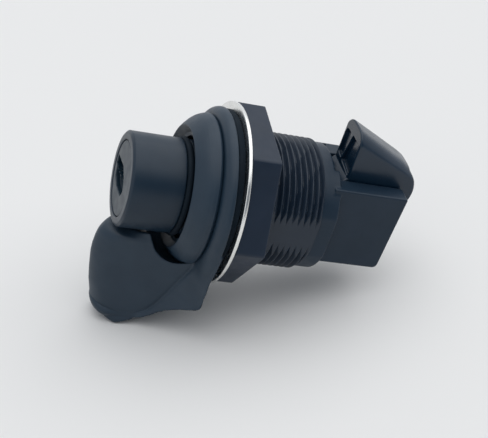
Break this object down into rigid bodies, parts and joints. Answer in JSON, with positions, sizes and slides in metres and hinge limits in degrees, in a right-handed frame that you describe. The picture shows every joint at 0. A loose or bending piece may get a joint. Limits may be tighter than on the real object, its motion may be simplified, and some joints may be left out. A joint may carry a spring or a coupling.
{
  "type": "pushbutton latch",
  "caption": "Key-locking pushbutton slam latch with round button, pull grip, threaded barrel, clamping nut and washer, and a sprung ramp-shaped bolt.",
  "frame": {"origin": "on the barrel axis, on the plane where the washer meets the gasket, which is the panel's place", "axes": "+Y along the barrel from the button to the bolt, +Z towards the bolt's tip and away from the pull grip, +X across the latch"},
  "size_m": [0.03, 0.0495, 0.0423],
  "materials": {
    "housing": "fine moulded black, satin",
    "nut": "moulded black, satin",
    "gasket": "black rubber, dull",
    "washer": "bright plated steel",
    "button": "black, satin",
    "plug": "black coated, satin",
    "bolt": "moulded black, glossy",
    "steel": "plain steel",
    "brass": "stamped brass"
  },
  "bodies": {
    "frame": {"housing": "housing", "gasket": "gasket", "washer": "washer", "hex_nut": "nut", "pivot_pin": "steel", "button_spring": "steel", "bolt_spring": "steel"},
    "button": {"button_shell": "button", "o_ring": "gasket", "spring_seat": "steel"},
    "plug": {"lock_plug": "plug", "plug_clip": "steel", "drive_tab": "steel", "tab_screw": "steel"},
    "wafer_a": {"wafer_1": "brass"},
    "wafer_b": {"wafer_2": "brass"},
    "wafer_c": {"wafer_3": "brass"},
    "wafer_d": {"wafer_4": "brass"},
    "plunger": {"plunger": "button"},
    "bolt": {"bolt": "bolt"}
  },
  "joints": [
    {"name": "button_press", "type": "slide", "parent": "frame", "child": "button", "axis": [0, 1, 0], "range_m": [0, 0.003], "stiffness_N_per_m": 500, "springref_m": -0.004, "deforming": ["button_spring"]},
    {"name": "plug_turn", "type": "hinge", "parent": "button", "child": "plug", "pos_m": [0, 0, 0], "axis": [0, 1, 0], "range_deg": [0, 90]},
    {"name": "wafer_1_slide", "type": "slide", "parent": "plug", "child": "wafer_a", "axis": [0.9877, 0, 0.1564], "range_m": [0, 0.0006], "stiffness_N_per_m": 60},
    {"name": "wafer_2_slide", "type": "slide", "parent": "plug", "child": "wafer_b", "axis": [-0.9877, 0, -0.1564], "range_m": [0, 0.0006], "stiffness_N_per_m": 60},
    {"name": "wafer_3_slide", "type": "slide", "parent": "plug", "child": "wafer_c", "axis": [0.9877, 0, 0.1564], "range_m": [0, 0.0006], "stiffness_N_per_m": 60},
    {"name": "wafer_4_slide", "type": "slide", "parent": "plug", "child": "wafer_d", "axis": [-0.9877, 0, -0.1564], "range_m": [0, 0.0006], "stiffness_N_per_m": 60},
    {"name": "plunger_slide", "type": "slide", "parent": "frame", "child": "plunger", "axis": [0, 1, 0], "range_m": [0, 0.003]},
    {"name": "bolt_swing", "type": "hinge", "parent": "frame", "child": "bolt", "pos_m": [0, 0.026, 0.0054], "axis": [1, 0, 0], "range_deg": [0, 21.1], "stiffness_Nm_per_rad": 0.03, "springref_deg": -22.92, "deforming": ["bolt_spring"]}
  ],
  "couplings": [
    {"joint": "plunger_slide", "follows": "button_press", "ratio": 1},
    {"joint": "bolt_swing", "follows": "button_press", "rad_per_m": 122.17}
  ]
}
